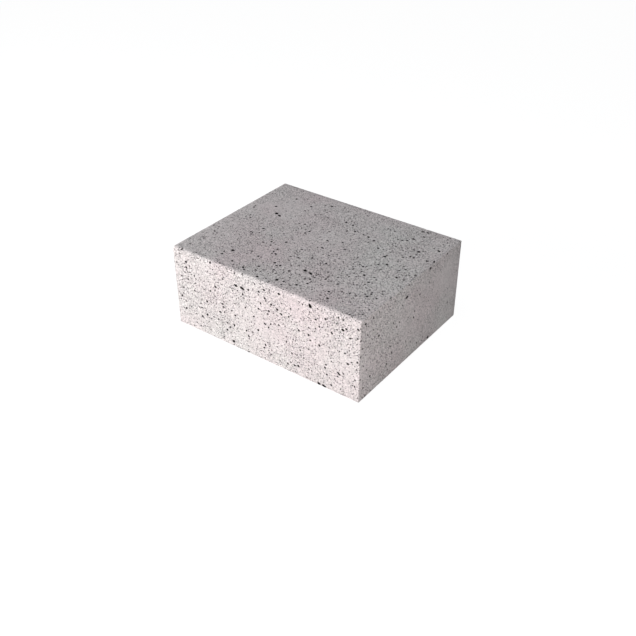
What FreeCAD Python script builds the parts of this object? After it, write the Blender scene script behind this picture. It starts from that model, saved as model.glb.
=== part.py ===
"""Precast concrete step block: one cast solid, drawn as its section and run out along its length.

Frame: +X along the step's length, +Y towards the back (the riser faces -Y), +Z up.
The origin is the middle of the underside. All sizes are in millimetres.
"""

import FreeCAD, Part
import math
import os
import Sketcher
from FreeCAD import Vector

# Driving dimensions: alias in the sheet, value, what it measures.
SIZES = [
    ("step_length", 500, "end face to end face, along X"),
    ("tread_depth", 400, "riser to back face, along Y"),
    ("step_rise", 200, "underside to tread, along Z"),
    ("nosing_radius", 8, "round where the tread turns down into the riser"),
    ("arris_radius", 2, "round that the mould leaves on every other edge"),
]

PARTS_FOLDER = "parts"
SMOOTH_ANGLE = math.radians(0.5)  # faces that meet at less than this have no arris between them


def size_sheet(doc):
    """The spreadsheet that holds the driving dimensions, each with its alias."""
    sheet = doc.addObject("Spreadsheet::Sheet", "Sizes")
    for row, (alias, value, meaning) in enumerate(SIZES, start=1):
        sheet.set(f"A{row}", alias)
        sheet.set(f"B{row}", str(value))
        sheet.set(f"C{row}", meaning)
        sheet.setAlias(f"B{row}", alias)
    doc.recompute()
    return sheet


def origin_plane(body, role):
    """The body's own origin plane with that role, such as YZ_Plane."""
    return next(f for f in body.Origin.OriginFeatures if f.Role == role)


def bind(sketch, constraint, name, alias):
    """Adds a dimension to the sketch and ties it to a cell of the sheet."""
    index = sketch.addConstraint(constraint)
    sketch.renameConstraint(index, name)
    sketch.setExpression(f"Constraints.{name}", f"Sizes.{alias}")


def section_sketch(body, sheet):
    """The step's section: underside, back, tread, the nosing's arc and the riser, in the YZ plane."""
    half_depth = sheet.tread_depth / 2
    rise = sheet.step_rise
    radius = sheet.nosing_radius
    halfway = radius * (1 - math.cos(math.radians(45)))

    sketch = body.newObject("Sketcher::SketchObject", "section")
    sketch.AttachmentSupport = [(origin_plane(body, "YZ_Plane"), "")]
    sketch.MapMode = "FlatFace"

    underside = sketch.addGeometry(
        Part.LineSegment(Vector(-half_depth, 0, 0), Vector(half_depth, 0, 0))
    )
    back = sketch.addGeometry(
        Part.LineSegment(Vector(half_depth, 0, 0), Vector(half_depth, rise, 0))
    )
    tread = sketch.addGeometry(
        Part.LineSegment(Vector(half_depth, rise, 0), Vector(radius - half_depth, rise, 0))
    )
    nosing = sketch.addGeometry(
        Part.Arc(
            Vector(radius - half_depth, rise, 0),
            Vector(halfway - half_depth, rise - halfway, 0),
            Vector(-half_depth, rise - radius, 0),
        )
    )
    riser = sketch.addGeometry(
        Part.LineSegment(Vector(-half_depth, rise - radius, 0), Vector(-half_depth, 0, 0))
    )

    start, end, origin = (underside, 1), (underside, 2), (-1, 1)
    for constraint in [
        Sketcher.Constraint("Coincident", *end, back, 1),
        Sketcher.Constraint("Coincident", back, 2, tread, 1),
        Sketcher.Constraint("Tangent", tread, 2, nosing, 1),
        Sketcher.Constraint("Tangent", nosing, 2, riser, 1),
        Sketcher.Constraint("Coincident", riser, 2, *start),
        Sketcher.Constraint("Horizontal", underside),
        Sketcher.Constraint("Vertical", back),
        Sketcher.Constraint("Horizontal", tread),
        Sketcher.Constraint("Vertical", riser),
        Sketcher.Constraint("Symmetric", *start, *end, *origin),
    ]:
        sketch.addConstraint(constraint)
    bind(sketch, Sketcher.Constraint("DistanceX", *start, *end, 2 * half_depth), "depth", "tread_depth")
    bind(sketch, Sketcher.Constraint("DistanceY", back, 1, back, 2, rise), "rise", "step_rise")
    bind(sketch, Sketcher.Constraint("Radius", nosing, radius), "nosing", "nosing_radius")
    return sketch


def is_smooth(shape, edge):
    """True where the two faces at an edge run into each other with no corner, as at the nosing's ends."""
    faces = shape.ancestorsOfType(edge, Part.Face)
    middle = edge.valueAt((edge.FirstParameter + edge.LastParameter) / 2)
    normals = [face.normalAt(*face.Surface.parameter(middle)) for face in faces]
    return normals[0].getAngle(normals[1]) < SMOOTH_ANGLE


def step_block(doc, sheet):
    """The whole block: the section run out along its length, with its arrises eased."""
    body = doc.addObject("PartDesign::Body", "step_block")
    body.Label = "step_block"

    cast = body.newObject("PartDesign::Pad", "cast")
    cast.Profile = section_sketch(body, sheet)
    cast.setExpression("Length", "Sizes.step_length")
    cast.Midplane = True
    doc.recompute()

    arrises = body.newObject("PartDesign::Fillet", "arrises")
    corners = [
        f"Edge{number}"
        for number, edge in enumerate(cast.Shape.Edges, start=1)
        if not is_smooth(cast.Shape, edge)
    ]
    arrises.Base = (cast, corners)
    arrises.setExpression("Radius", "Sizes.arris_radius")
    body.Tip = arrises
    doc.recompute()
    return body


def check(doc, parts):
    """Stops the build if any object failed, or a part is not one closed, valid solid."""
    for item in doc.Objects:
        if "Invalid" in item.State or "Error" in item.State:
            raise RuntimeError(f"{item.Label} did not build: {item.State}")
    for part in parts:
        shape = part.Shape
        if shape.isNull() or not shape.isValid() or len(shape.Solids) != 1:
            raise RuntimeError(f"{part.Label} is not one valid solid")


def main():
    doc = FreeCAD.newDocument("StepBlock")
    sheet = size_sheet(doc)
    parts = [step_block(doc, sheet)]
    check(doc, parts)

    os.makedirs(PARTS_FOLDER, exist_ok=True)
    for part in parts:
        part.Shape.exportStep(os.path.join(PARTS_FOLDER, f"{part.Label}.step"))
        box = part.Shape.optimalBoundingBox(False)
        print(
            f"{part.Label}: {box.XLength:.2f} x {box.YLength:.2f} x {box.ZLength:.2f} mm, "
            f"{part.Shape.Volume / 1e9:.6f} m3, {len(part.Shape.Faces)} faces"
        )


main()
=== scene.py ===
# %% [markdown]
# # A precast concrete step block
#
# The real object is one solid lump of concrete, 500 mm long, 400 mm deep and 200 mm high. It is
# cast in a steel mould, so its faces are flat, its long front edge is rounded for the foot, and
# the other edges are only eased. What makes it look like concrete is on a smaller scale: open air
# pores, from a pinhole up to the width of a finger, a grain of sand, and patches of slightly
# different cement tone.
#
# The construction model gives the exact size. Here the same block is modelled again with its
# pores as real pits, and then gets its finish, its light and its camera.

import math
import random

import bpy
import numpy as np
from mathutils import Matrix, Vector


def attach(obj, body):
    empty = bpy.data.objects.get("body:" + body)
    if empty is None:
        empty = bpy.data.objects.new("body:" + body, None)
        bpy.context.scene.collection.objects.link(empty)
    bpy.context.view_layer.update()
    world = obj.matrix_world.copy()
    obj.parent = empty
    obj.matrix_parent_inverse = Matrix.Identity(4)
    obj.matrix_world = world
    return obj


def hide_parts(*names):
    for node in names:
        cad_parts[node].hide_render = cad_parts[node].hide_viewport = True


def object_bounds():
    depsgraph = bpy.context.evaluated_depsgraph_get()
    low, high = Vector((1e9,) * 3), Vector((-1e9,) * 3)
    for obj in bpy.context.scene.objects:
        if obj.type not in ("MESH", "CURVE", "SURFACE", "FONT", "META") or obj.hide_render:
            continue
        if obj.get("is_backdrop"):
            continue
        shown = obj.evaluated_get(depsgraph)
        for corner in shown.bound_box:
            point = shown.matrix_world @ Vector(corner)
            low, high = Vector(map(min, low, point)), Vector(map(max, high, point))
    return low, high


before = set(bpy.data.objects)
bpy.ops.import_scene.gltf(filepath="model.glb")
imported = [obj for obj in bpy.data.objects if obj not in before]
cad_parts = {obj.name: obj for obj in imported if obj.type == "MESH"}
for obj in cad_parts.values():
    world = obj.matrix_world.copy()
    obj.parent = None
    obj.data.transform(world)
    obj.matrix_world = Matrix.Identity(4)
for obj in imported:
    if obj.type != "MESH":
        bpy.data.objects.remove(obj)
cad_low, cad_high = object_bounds()
size = cad_high - cad_low
middle = (cad_low + cad_high) / 2
MM = 0.001
print("cast size in mm:", [round(side / MM, 1) for side in size])

# %% [markdown]
# ## The cast block
#
# A mould gives a plain box, so a cube primitive at the cast size is the right start. It could
# also be an extruded section, but the rounded nosing is easier to read as one bevelled edge: the
# front top edge gets the wide round that a step needs, and every edge that is still sharp then
# gets the small one that the mould's corners leave.


# %% Two helpers for modelling by hand
def only(piece):
    """Leaves piece as the one selected, active object."""
    bpy.ops.object.select_all(action="DESELECT")
    piece.select_set(True)
    bpy.context.view_layer.objects.active = piece


def select_edges(piece, wanted):
    """In edit mode, selects the edges whose middle passes the test, and nothing else."""
    bpy.ops.mesh.select_mode(type="EDGE")
    bpy.ops.mesh.select_all(action="DESELECT")
    bpy.ops.object.mode_set(mode="OBJECT")
    corners = piece.data.vertices
    for edge in piece.data.edges:
        start, end = (corners[number].co for number in edge.vertices)
        edge.select = wanted((start + end) / 2)
    bpy.ops.object.mode_set(mode="EDIT")


# %% Box, nosing and arrises
NOSING_RADIUS = 8 * MM
NOSING_STEPS = 8
ARRIS_RADIUS = 2 * MM
ARRIS_STEPS = 3
STILL_SHARP = math.radians(40)  # above the steps of the nosing, below a square corner
TOUCH = 0.1 * MM

bpy.ops.object.select_all(action="DESELECT")
bpy.ops.mesh.primitive_cube_add(size=1, location=middle, scale=size)
block = bpy.context.object
block.name = block.data.name = "concrete_step_block"
bpy.ops.object.transform_apply(location=True, rotation=True, scale=True)

bpy.ops.object.mode_set(mode="EDIT")
select_edges(block, lambda at: at.y < cad_low.y + TOUCH and at.z > cad_high.z - TOUCH)
bpy.ops.mesh.bevel(offset=NOSING_RADIUS, segments=NOSING_STEPS, affect="EDGES")
bpy.ops.mesh.select_all(action="DESELECT")
bpy.ops.mesh.edges_select_sharp(sharpness=STILL_SHARP)
bpy.ops.mesh.bevel(offset=ARRIS_RADIUS, segments=ARRIS_STEPS, affect="EDGES")
bpy.ops.object.mode_set(mode="OBJECT")
print("rounded box:", len(block.data.polygons), "faces")

# %% [markdown]
# ## A grid to work on
#
# The faces are cut into squares of about a centimetre. A large flat face with hundreds of holes
# in it turns into long thin triangles, which shade badly, while a small square with a hole or two
# stays tidy. Bisecting the whole block by parallel planes gives the squares and keeps it closed.

# %% Bisect into squares
SQUARE = 12.5 * MM

only(block)
bpy.ops.object.mode_set(mode="EDIT")
for axis in range(3):
    normal = Vector((0, 0, 0))
    normal[axis] = 1
    rows = round(size[axis] / SQUARE)
    for row in range(1, rows):
        bpy.ops.mesh.select_all(action="SELECT")
        bpy.ops.mesh.bisect(plane_co=cad_low + size * row / rows, plane_no=normal)
bpy.ops.object.mode_set(mode="OBJECT")
print("after bisecting:", len(block.data.polygons), "faces")

# %% [markdown]
# ## Air pores
#
# Air that the vibrated concrete can't shake out sticks to the mould and leaves round or drawn-out
# holes, sometimes two in a chain. They are what the eye takes for concrete, and they nick the
# edges, so they are cut as real pits and not painted on. Each face is given the way a maker would
# measure it: the corner to start from, the way along, the way down, and the way out of the face.

# %% The six faces
FACES = {  # corner, along, down, out
    "riser": ((0, 0, 1), (1, 0, 0), (0, 0, -1), (0, -1, 0)),
    "tread": ((0, 1, 1), (1, 0, 0), (0, -1, 0), (0, 0, 1)),
    "right_end": ((1, 0, 1), (0, 1, 0), (0, 0, -1), (1, 0, 0)),
    "left_end": ((0, 1, 1), (0, -1, 0), (0, 0, -1), (-1, 0, 0)),
    "back": ((1, 1, 1), (-1, 0, 0), (0, 0, -1), (0, 1, 0)),
    "underside": ((0, 0, 0), (1, 0, 0), (0, 1, 0), (0, 0, -1)),
}


def face_of(name):
    """The face's corner, its directions along, down and out, and its length and height."""
    corner, along, down, out = (Vector(numbers) for numbers in FACES[name])
    return cad_low + corner * size, along, down, out, abs(along @ size), abs(down @ size)


# %% Pores that stand out: mm along, mm down, width, length, and turn in degrees
BIG_PORES = {
    "riser": [
        (181, 35, 6, 10, 10), (199, 35, 7, 13, 15), (378, 10, 7, 12, 60), (400, 196, 7, 9, 20),
        (413, 196, 6, 12, 10), (293, 52, 6, 7, 20), (303, 59, 5, 7, 20), (277, 46, 5, 6, 0),
        (458, 35, 6, 8, 0), (466, 30, 5, 6, 0), (401, 97, 6, 6, 0), (165, 187, 7, 9, -40),
        (90, 145, 6, 6, 0), (75, 156, 6, 6, 0), (259, 17, 5, 7, 0), (174, 114, 5, 6, 0),
        (258, 102, 5, 8, 30), (38, 27, 6, 6, 0), (37, 41, 6, 6, 0), (47, 34, 4, 4, 0),
        (110, 4, 5, 6, 0), (242, 70, 5, 6, 0), (270, 65, 5, 6, 0), (415, 147, 5, 6, 0),
        (420, 163, 5, 6, 0), (346, 174, 5, 7, 30), (450, 147, 5, 10, 30), (148, 162, 5, 6, 0),
        (138, 98, 5, 6, 0), (92, 109, 5, 6, 0), (254, 166, 5, 6, 0), (185, 46, 4, 4, 0),
    ],
    "tread": [
        (87, 142, 8, 11, 20), (99, 147, 6, 11, 25), (298, 310, 7, 11, 10), (314, 313, 6, 12, 25),
        (119, 335, 8, 9, 0), (410, 58, 7, 8, 0), (410, 16, 6, 8, 0), (402, 72, 5, 6, 0),
        (449, 101, 7, 9, 0), (483, 72, 6, 9, 20), (423, 188, 6, 8, 0), (408, 199, 5, 6, 0),
        (170, 35, 6, 8, 0), (63, 114, 6, 7, 0), (96, 247, 5, 6, 0), (204, 292, 5, 8, 20),
        (194, 286, 4, 6, 20), (273, 374, 8, 8, 0), (208, 354, 5, 6, 0), (232, 388, 6, 7, 0),
        (191, 382, 5, 6, 0), (398, 369, 6, 7, 0), (458, 317, 5, 6, 0), (460, 305, 5, 6, 0),
        (450, 312, 4, 5, 0), (237, 330, 5, 6, 0), (238, 243, 5, 6, 0), (254, 276, 5, 6, 0),
    ],
    "right_end": [
        (170, 31, 6, 12, 0), (16, 13, 6, 6, 0), (263, 6, 6, 8, 0), (67, 69, 5, 6, 0),
        (205, 100, 5, 5, 0), (121, 143, 5, 5, 0), (39, 154, 5, 6, 0), (2, 45, 4, 4, 0),
        (225, 52, 5, 5, 0), (277, 193, 7, 8, 0), (335, 4, 5, 6, 0), (15, 170, 5, 5, 0),
    ],
}
print("pores placed by hand:", sum(len(listed) for listed in BIG_PORES.values()))

# %% [markdown]
# ### Where the mix was richer or drier
#
# Concrete goes into the mould a shovel at a time, and each shovelful settles a little differently:
# some patches hold more air, and some dry pinker or greyer. The patches are given as round zones
# that fade out at their radius. The same zones crowd the pores here and tint the cement later, so
# that both change in the same places, as they do in the real mix.

# %% Zones: mm along, mm down, radius in mm, how much pinker, how much more open
ZONES = {
    "riser": [
        (370, 60, 130, 0.6, -0.2), (450, 20, 70, 0.2, 0.2), (30, 90, 100, -0.6, 0.4),
        (130, 190, 90, -0.5, 0.3), (300, 190, 60, -0.5, 0.5), (280, 110, 60, 0.2, -0.8),
        (170, 60, 60, 0.0, 0.5), (330, 20, 50, 0.2, -0.6),
    ],
    "tread": [
        (170, 300, 90, 1.2, -0.6), (150, 380, 60, 0.5, 0.3), (100, 120, 120, 0.4, -0.9),
        (430, 180, 150, -0.9, 0.4), (330, 60, 90, -0.5, 0.0), (440, 380, 100, 0.1, 1.0),
        (230, 190, 90, 0.1, -0.8), (320, 300, 80, 0.3, 0.5), (420, 40, 70, -0.2, 0.8),
        (250, 200, 350, 0.0, 0.5),
    ],
    "right_end": [
        (230, 60, 110, 0.9, -0.6), (60, 60, 80, -0.3, 0.5), (200, 190, 60, -0.6, -0.3),
        (60, 195, 70, -0.5, 0.8), (340, 190, 60, -0.3, -0.7), (340, 80, 100, 0.2, -0.9),
    ],
}


def openness_at(face, u, v):
    """How full of air the mix was at that place on a face, 0.5 where no zone reaches."""
    total = 0.5
    for centre_u, centre_v, radius, _, opener in ZONES.get(face, ()):
        near = max(0, 1 - math.dist((u, v), (centre_u * MM, centre_v * MM)) / (radius * MM))
        total += opener / 2 * near * near * (3 - 2 * near)
    return max(0, total)


print("zones:", sum(len(zones) for zones in ZONES.values()))

# %% [markdown]
# ### Every other pore
#
# The rest of the pores are drawn at random from a fixed seed. Their widths fall off quickly, so
# most are near the smallest, and each face has its own crowding, because air rises while the block
# is cast. A pore only counts if its rim clears every other, because a Boolean wants cutters that
# don't cross. Comparing each pore with all the others would be slow, so they are filed by the cell
# of space that they lie in, and only the cells next to it are looked through.

# %% How the pores are spread
SMALLEST = 2.0 * MM
WIDEST = 5.5 * MM
LONGEST = 1.5  # length as a share of the width
SHALLOWEST, DEEPEST = 0.5, 0.9  # depth as a share of the width
RIM = 0.3 * MM
AIR_CELL = 10 * MM
SEED = 20
CROWDING = {  # pores a square metre, mm over the smallest, then the share at each edge
    "riser": (20000, 0.7, 0.9, 1.1, 1.4, 0.7),  # start, end, top, bottom
    "tread": (17000, 0.8, 0.45, 1.4, 0.6, 1.4),
    "right_end": (7000, 0.6, 1.9, 0.3, 1.3, 0.8),
    "left_end": (6000, 0.7, 1.0, 1.0, 1.2, 0.8),
    "back": (7000, 0.7, 1.0, 1.0, 1.2, 0.8),
    "underside": (2000, 0.7, 1.0, 1.0, 1.0, 1.0),
}
pores = []
taken = {}


def add_pore(face, u, v, width, length, turn, depth):
    """Adds a pore at that place on the face, unless it would cross another."""
    corner, along, down, out, _, _ = face_of(face)
    at = corner + along * u + down * v
    reach = length / 2
    x, y, z = (int(side // AIR_CELL) for side in at)
    beside = [(x + i, y + j, z + k) for i in (-1, 0, 1) for j in (-1, 0, 1) for k in (-1, 0, 1)]
    for cell in beside:
        for other, its_reach in taken.get(cell, ()):
            if (at - other).length < reach + its_reach + RIM:
                return
    taken.setdefault((x, y, z), []).append((at, reach))
    first = along * math.cos(turn) + down * math.sin(turn)
    second = down * math.cos(turn) - along * math.sin(turn)
    pores.append((at, first * length / 2, second * width / 2, out * depth, width))


# %% Every pore's place and shape
for face, listed in BIG_PORES.items():
    for u, v, width, length, turn in listed:
        sizes = width * MM, length * MM, math.radians(turn), DEEPEST * width * MM
        add_pore(face, u * MM, v * MM, *sizes)

chance = random.Random(SEED)
for face, (crowd, spread, start, end, top, bottom) in CROWDING.items():
    _, _, _, _, long, high = face_of(face)
    for _ in range(round(crowd * long * high)):
        u, v = chance.random(), chance.random()
        keep = (start + (end - start) * u) * (top + (bottom - top) * v)
        keep *= openness_at(face, u * long, v * high)
        width = min(SMALLEST + chance.expovariate(1 / (spread * MM)), WIDEST)
        length = width * chance.uniform(1, LONGEST)
        turn = chance.uniform(0, math.pi)
        depth = width * chance.uniform(SHALLOWEST, DEEPEST)
        if chance.random() < keep:
            add_pore(face, u * long, v * high, width, length, turn, depth)
print("pores:", len(pores))

# %% [markdown]
# ## Cutting the pores
#
# One pore is modelled as a small ball and copied for every place, each copy turned, stretched and
# dented in its own way. Thousands of copies made one by one would take minutes, so the ball's
# corners are moved as numbers, and all the copies of a kind become one mesh. A single Boolean then
# cuts them: the Manifold solver does thousands in a second and leaves a closed block. The cutters
# wear the material of the pore's wall, and the Boolean carries it over to the pits. Only the wide
# pores get the rounder ball, because a fine one never shows more than a few faces.

# %% Cutters
WIDE_PORE = 3.4 * MM
DENT = 0.14
WIDE_BALL, FINE_BALL = 2, 1  # subdivisions: 80 faces and 20 faces

cast_concrete = bpy.data.materials.new("cast_concrete")
# the pore wall's dark colour is raw paste with painted shade, set further on
pore_wall = bpy.data.materials.new("air_pore_wall")
block.data.materials.append(cast_concrete)
block.data.materials.append(pore_wall)


def pore_cutters(name, chosen, roundness):
    """One mesh of closed, dented balls, one for each chosen pore."""
    bpy.ops.object.select_all(action="DESELECT")
    bpy.ops.mesh.primitive_ico_sphere_add(subdivisions=roundness, radius=1)
    ball = bpy.context.object
    corners = np.array([corner.co for corner in ball.data.vertices])
    faces = np.array([face.vertices for face in ball.data.polygons])
    bpy.data.objects.remove(ball)
    dents = np.random.default_rng(roundness)
    all_corners, all_faces = [], []
    for number, (at, first, second, deep, _) in enumerate(chosen):
        dented = corners * (1 + dents.uniform(-DENT, DENT, (len(corners), 1)))
        all_corners += (dented @ np.array([first, second, deep]) + np.array(at)).tolist()
        all_faces += (faces + number * len(corners)).tolist()
    mesh = bpy.data.meshes.new(name)
    mesh.from_pydata(all_corners, [], all_faces)
    mesh.materials.append(pore_wall)
    cutters = bpy.data.objects.new(name, mesh)
    bpy.context.scene.collection.objects.link(cutters)
    only(cutters)
    bpy.ops.object.mode_set(mode="EDIT")
    bpy.ops.mesh.select_all(action="SELECT")
    bpy.ops.mesh.normals_make_consistent(inside=False)
    bpy.ops.object.mode_set(mode="OBJECT")
    print(name, len(chosen), "with", len(faces), "faces each")
    return cutters


# %% Cut them
SMOOTH_UNDER = math.radians(30)


def cut_away(piece, cutters):
    """Cuts the cutters out of piece and removes them."""
    cut = piece.modifiers.new(cutters.name, "BOOLEAN")
    cut.operation = "DIFFERENCE"
    cut.solver = "MANIFOLD"
    cut.object = cutters
    only(piece)
    bpy.ops.object.modifier_apply(modifier=cut.name)
    bpy.data.objects.remove(cutters)


wide = [pore for pore in pores if pore[-1] > WIDE_PORE]
fine = [pore for pore in pores if pore[-1] <= WIDE_PORE]
cut_away(block, pore_cutters("wide_pores", wide, WIDE_BALL))
cut_away(block, pore_cutters("fine_pores", fine, FINE_BALL))
bpy.ops.object.shade_smooth_by_angle(angle=SMOOTH_UNDER)
block.data.calc_loop_triangles()
print("cut block:", len(block.data.loop_triangles), "triangles")

# %% [markdown]
# ## Finish: cast concrete
#
# Concrete is cement paste with sand in it. The steel mould leaves a closed grey skin, on which
# the sand shows through as a salt-and-pepper grain, and the cement's tone drifts from a little
# pink to plain grey over a hand's width. It is matt, because the skin is full of pinholes.
#
# A picture of concrete would show its seams on six faces. Patterns worked out from the place in
# the block run through it like the real mix, so they meet at every edge.


# %% Two helpers for materials
def linear(colour):
    """An sRGB colour such as CBBFC0 as the linear red, green, blue and alpha of a socket."""
    parts = [int(colour[n : n + 2], 16) / 255 for n in (0, 2, 4)]
    return [p / 12.92 if p <= 0.04045 else ((p + 0.055) / 1.055) ** 2.4 for p in parts] + [1]


def add(tree, kind, sockets=(), **settings):
    """Adds a node and fills its sockets, in order from a list or by name or number from a dict.

    A socket takes a plain value, another node's output, or a node, which means its first output.
    """
    node = tree.nodes.new(kind)
    for name, value in settings.items():
        setattr(node, name, value)
    filled = sockets if isinstance(sockets, dict) else dict(enumerate(sockets))
    for socket, value in filled.items():
        if isinstance(value, bpy.types.Node):
            value = value.outputs[0]
        if isinstance(value, bpy.types.NodeSocket):
            tree.links.new(value, node.inputs[socket])
        else:
            node.inputs[socket].default_value = value
    return node


# %% [markdown]
# ### Patches
#
# A slow noise gives the drift of the mix over a hand's width, once for the tint and once for how
# open the skin is. The zones that crowded the pores are added to it. A noise keeps close to its
# middle value, so the part of its range that it really uses is stretched to the range wanted.

# %% Patches of richer and drier mix
PATCH = 90 * MM
NOISE_USED = 0.3, 0.7  # nearly all of a noise's values lie between these
PINKNESS = 0.2, 0.8  # 0 is the grey cement, 1 is the pink
OPENNESS = 0.25, 0.85  # the share of the pinholes that are open

cast_concrete.use_nodes = True
tree = cast_concrete.node_tree
tree.nodes.clear()
place = add(tree, "ShaderNodeTexCoord").outputs["Object"]
patches = add(tree, "ShaderNodeTexNoise", {"Vector": place, "Scale": 1 / PATCH, "Detail": 3})
patchy = add(tree, "ShaderNodeSeparateColor", [patches.outputs["Color"]])
pinkness = add(tree, "ShaderNodeMapRange", [patchy.outputs["Red"], *NOISE_USED, *PINKNESS])
openness = add(tree, "ShaderNodeMapRange", [patchy.outputs["Green"], *NOISE_USED, *OPENNESS])

for face, zones in ZONES.items():
    corner, along, down, _, _, _ = face_of(face)
    for u, v, radius, pinker, opener in zones:
        centre = corner + along * u * MM + down * v * MM
        away = add(tree, "ShaderNodeVectorMath", [place, centre], operation="DISTANCE")
        near = add(
            tree, "ShaderNodeMapRange", [away.outputs["Value"], radius * MM, 0],
            interpolation_type="SMOOTHSTEP",
        )
        pinkness = add(
            tree, "ShaderNodeMath", [near, pinker / 2, pinkness], operation="MULTIPLY_ADD"
        )
        openness = add(
            tree, "ShaderNodeMath", [near, opener / 2, openness], operation="MULTIPLY_ADD"
        )
print("patches:", len(tree.nodes), "nodes")

# %% [markdown]
# ### Paste, sand and dust
#
# Four layers of light and dark are multiplied together: clouds as wide as two fingers, grit of a
# few millimetres, sand, and the dust of the cement itself. Each cell of a Voronoi texture stands
# for one grain, because grains touch and have a tone each, where a noise would only be cloudy.

# %% Cement paste, sand and dust
PINK = "CBBFC0"
GREY = "CCC9C7"
CLOUD = 25 * MM
CLOUD_LIGHT = 0.96, 1.04
GRIT = 4.2 * MM
GRIT_REACH = 0.8  # how far a grain's rim is from its middle, in cells
GRIT_LIGHT = 1.1, 0.9  # its middle, its rim
SAND = 1.7 * MM  # real sand is 0.5 to 1 mm; drawn coarser, because finer would not show
SAND_CONTRAST = 0.35, 0.7  # on a closed skin, on an open one
DUST = 0.9 * MM  # real cement dust is far finer; drawn as coarse as it needs to show
DUST_LIGHT = 0.85, 1.15

cement = add(
    tree, "ShaderNodeMix", {0: pinkness, 6: linear(GREY), 7: linear(PINK)}, data_type="RGBA"
)
clouds = add(tree, "ShaderNodeTexNoise", {"Vector": place, "Scale": 1 / CLOUD, "Detail": 4})
cloud_light = add(tree, "ShaderNodeMapRange", [clouds.outputs["Fac"], *NOISE_USED, *CLOUD_LIGHT])

sand = add(tree, "ShaderNodeTexVoronoi", {"Vector": place, "Scale": 1 / SAND})
sand_tone = add(tree, "ShaderNodeSeparateColor", [sand.outputs["Color"]])
sand_swing = add(tree, "ShaderNodeMath", [sand_tone, 0.5], operation="SUBTRACT")
sand_contrast = add(tree, "ShaderNodeMapRange", [openness, 0, 1, *SAND_CONTRAST])
sand_light = add(
    tree, "ShaderNodeMath", [sand_swing, sand_contrast, 1], operation="MULTIPLY_ADD"
)

dust = add(tree, "ShaderNodeTexNoise", {"Vector": place, "Scale": 1 / DUST, "Detail": 2})
dust_light = add(tree, "ShaderNodeMapRange", [dust.outputs["Fac"], *NOISE_USED, *DUST_LIGHT])

grit = add(tree, "ShaderNodeTexVoronoi", {"Vector": place, "Scale": 1 / GRIT})
grit_light = add(
    tree, "ShaderNodeMapRange", [grit.outputs["Distance"], 0, GRIT_REACH, *GRIT_LIGHT]
)

light = cloud_light
for layer in (sand_light, dust_light, grit_light):
    light = add(tree, "ShaderNodeMath", [light, layer], operation="MULTIPLY")
print("with paste, sand and dust:", len(tree.nodes), "nodes")

# %% [markdown]
# ### Pinholes
#
# Below the smallest pore that is worth cutting, the skin is still pricked all over. A pinhole is not
# cut but painted as a dark dot in a cell's middle: painted shade, for the shadow inside the hole.
# Each cell draws a number, and only the cells that draw less than the openness of the mix there
# have their hole, which makes the pinholes crowd with the pores.

# %% Pinholes: the spacing of the cells that they are drawn in, and their radius
PINHOLES = [(4 * MM, 1.25 * MM), (3.2 * MM, 0.95 * MM)]  # really under 1 mm; wider, so they show
# how dark the painted shade in the middle of a pinhole is
PINHOLE_SHADE = 0.1
FLOOR_OF_HOLE = 0.7  # how far out a pinhole is fully dark, as a share of its radius

for spacing, radius in PINHOLES:
    cells = add(tree, "ShaderNodeTexVoronoi", {"Vector": place, "Scale": 1 / spacing})
    draw = add(tree, "ShaderNodeSeparateColor", [cells.outputs["Color"]])
    is_open = add(tree, "ShaderNodeMath", [draw, openness], operation="LESS_THAN")
    rim = radius / spacing
    inside = add(
        tree, "ShaderNodeMapRange", [cells.outputs["Distance"], rim, FLOOR_OF_HOLE * rim]
    )
    hole = add(tree, "ShaderNodeMath", [is_open, inside], operation="MULTIPLY")
    # painted shade: each open pinhole darkens the concrete's colour
    shade = add(tree, "ShaderNodeMapRange", [hole, 0, 1, 1, PINHOLE_SHADE])
    light = add(tree, "ShaderNodeMath", [light, shade], operation="MULTIPLY")
print("with pinholes:", len(tree.nodes), "nodes")

# %% [markdown]
# ### The concrete's shader
#
# The light and dark is also the height: a pinhole and a dark grain lie lower than the paste round
# them. Cast concrete is nearly fully matt, with the refraction of stone.

# %% Concrete shader
SKIN_RELIEF = 0.25 * MM
CONCRETE_ROUGHNESS = 0.9
STONE_IOR = 1.5

colour = add(
    tree, "ShaderNodeVectorMath", {0: cement.outputs[2], "Scale": light}, operation="SCALE"
)
bump = add(tree, "ShaderNodeBump", {"Strength": 1.0, "Distance": SKIN_RELIEF, "Height": light})
shader = add(
    tree, "ShaderNodeBsdfPrincipled",
    {
        "Base Color": colour, "Roughness": CONCRETE_ROUGHNESS, "IOR": STONE_IOR, "Normal": bump,
    },
)
add(tree, "ShaderNodeOutputMaterial", [shader])
print("cast concrete:", len(tree.nodes), "nodes")

# %% [markdown]
# ### The wall of an air pore, darkened with painted shade
#
# Inside a real pore the paste is raw and rough, and little light comes back out, so it looks nearly
# black next to the skin. The pits here are shallower and their own shade would leave them grey, so
# the wall has a dark material of its own, with the same dust in it: the raw paste's colour,
# darkened with painted shade for the depth that the pits lack.

# %% Wall of an air pore, with painted shade
# the pore wall's colours: raw paste darkened with painted shade
PORE_SHADE_DARK = "14110F"
PORE_SHADE_LIGHT = "2A2523"
PORE_ROUGHNESS = 1.0

pore_wall.use_nodes = True
tree = pore_wall.node_tree
tree.nodes.clear()
place = add(tree, "ShaderNodeTexCoord").outputs["Object"]
paste = add(tree, "ShaderNodeTexNoise", {"Vector": place, "Scale": 1 / DUST, "Detail": 2})
shaded_paste_colour = add(
    tree, "ShaderNodeMix",
    {0: paste.outputs["Fac"], 6: linear(PORE_SHADE_DARK), 7: linear(PORE_SHADE_LIGHT)}, data_type="RGBA",
)
shader = add(
    tree, "ShaderNodeBsdfPrincipled",
    {"Base Color": shaded_paste_colour.outputs[2], "Roughness": PORE_ROUGHNESS, "IOR": STONE_IOR},
)
add(tree, "ShaderNodeOutputMaterial", [shader])
print("pore wall:", len(tree.nodes), "nodes")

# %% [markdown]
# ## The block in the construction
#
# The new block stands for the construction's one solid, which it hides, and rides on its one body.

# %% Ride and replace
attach(block, "root")
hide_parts("step_block")

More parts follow.
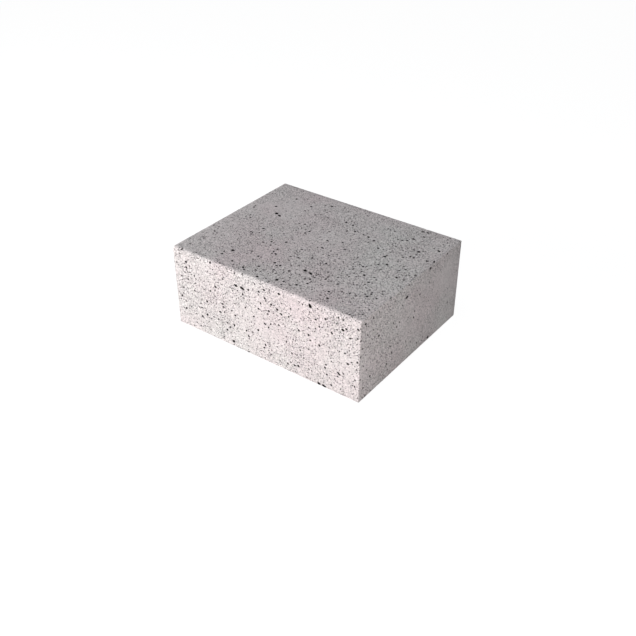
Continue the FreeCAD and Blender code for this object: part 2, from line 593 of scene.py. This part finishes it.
# %% [markdown]
# ## Floor and surroundings
#
# The block stands on a plain pale floor in a white studio. A floor lit only by lamps would turn
# grey towards the back, so to the camera, and to a ray that comes off gloss or through glass, most
# of it shines by itself. To every other ray it is plain matt paint. The light on the block stays
# the same, and its shadow still shows in the rest of the floor. The room is done the same way:
# white to look at, and dim as a light.


# %% One helper for both
def is_looked_at(tree):
    """1 for the rays that show what is there, such as the camera's, and 0 for the ones that light."""
    ray = add(tree, "ShaderNodeLightPath")
    shown = ray.outputs["Is Camera Ray"]
    for kind in ("Is Glossy Ray", "Is Transmission Ray"):
        shown = add(tree, "ShaderNodeMath", [shown, ray.outputs[kind]], operation="ADD", use_clamp=True)
    return shown


# %% Floor
FLOOR_SIDE = 8
FLOOR_PAINT = "CBCBCB"
FLOOR_GLOW = 1.25
GLOW_SHARE = 0.75  # what is left of the floor, a quarter, shows the shadow
WHITE = "FFFFFF"

bpy.ops.object.select_all(action="DESELECT")
bpy.ops.mesh.primitive_plane_add(size=FLOOR_SIDE, location=(0, 0, cad_low.z))
floor = bpy.context.object
floor.name = "floor"
white_floor = bpy.data.materials.new("white_floor")
floor.data.materials.append(white_floor)
white_floor.use_nodes = True
tree = white_floor.node_tree
tree.nodes.clear()
share = add(tree, "ShaderNodeMath", [is_looked_at(tree), GLOW_SHARE], operation="MULTIPLY")
matt = add(tree, "ShaderNodeBsdfDiffuse", {"Color": linear(FLOOR_PAINT)})
glow = add(tree, "ShaderNodeEmission", {"Color": linear(WHITE), "Strength": FLOOR_GLOW})
mixed = add(tree, "ShaderNodeMixShader", [share, matt, glow])
add(tree, "ShaderNodeOutputMaterial", [mixed])
floor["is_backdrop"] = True

# %% Room
ROOM_COLOUR = "F7FBFF"
ROOM_LIGHT = 0.24

world = bpy.data.worlds.new("studio")
bpy.context.scene.world = world
world.use_nodes = True
tree = world.node_tree
tree.nodes.clear()
room = add(tree, "ShaderNodeBackground", {"Color": linear(ROOM_COLOUR), "Strength": ROOM_LIGHT})
white = add(tree, "ShaderNodeBackground", {"Color": linear(WHITE), "Strength": 1.0})
mixed = add(tree, "ShaderNodeMixShader", [is_looked_at(tree), room, white])
add(tree, "ShaderNodeOutputWorld", [mixed])
print("floor", FLOOR_SIDE, "m wide, room light", ROOM_LIGHT)

# %% [markdown]
# ## Lamps
#
# Three soft boxes, each an area lamp that looks at the block's middle. The key is low and in front,
# so the riser is the bright face. A small fill close by on the right fades along the end face, and
# a weak, slightly cooler lamp overhead lights the tread. All are big against the block, so the
# nosing turns from light to dark gently.

# %% Lamps: degrees round, degrees up, metres away, metres wide, watts, colour
LAMPS = {
    "key": (-40, 10, 3.2, 1.2, 116, "FFFDFC"),
    "fill": (50, 10, 1.3, 0.6, 5.5, "FFFCFA"),
    "top": (0, 80, 2.4, 1.2, 14.2, "F8FBFF"),
}

for name, (azimuth, rise, distance, width, watts, tint) in LAMPS.items():
    lamp_data = bpy.data.lights.new(name, "AREA")
    lamp_data.size = width
    lamp_data.energy = watts
    lamp_data.color = linear(tint)[:3]
    lamp = bpy.data.objects.new(name, lamp_data)
    bpy.context.scene.collection.objects.link(lamp)
    turn, lift = math.radians(azimuth), math.radians(rise)
    way = Vector(
        (math.sin(turn) * math.cos(lift), -math.cos(turn) * math.cos(lift), math.sin(lift))
    )
    lamp.location = middle + way * distance
    lamp.rotation_euler = (-way).to_track_quat("-Z", "Y").to_euler()
    lamp.visible_camera = False
    print(name, "lamp at", [round(side, 2) for side in lamp.location])

# %% [markdown]
# ## Camera
#
# The camera stands in front, to the right and above, as somebody who looks down at the step from
# nearly two metres away. The long lens keeps the block's edges nearly parallel. The view transform is
# Standard, so that a colour comes out as it is written.

# %% Camera
LENS = 48.3
CAMERA_PLACE = Vector((0.980, -1.331, 1.122))
CAMERA_AIM = Vector((0.087, -0.118, 0.1))

camera_data = bpy.data.cameras.new("camera")
camera = bpy.data.objects.new("camera", camera_data)
bpy.context.scene.collection.objects.link(camera)
camera_data.lens = LENS
camera.location = CAMERA_PLACE
camera.rotation_euler = (CAMERA_AIM - CAMERA_PLACE).to_track_quat("-Z", "Y").to_euler()
bpy.context.scene.camera = camera
bpy.context.scene.view_settings.view_transform = "Standard"
print("camera", round((CAMERA_AIM - CAMERA_PLACE).length, 2), "m from what it looks at")

# %% [markdown]
# ## Size
#
# The pores only take concrete away, so the block with its pores has to be as large as the cast
# one. Both sizes are printed.

# %% Print the size
low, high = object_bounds()
print("visual size in mm:", [round(side / MM, 2) for side in high - low])
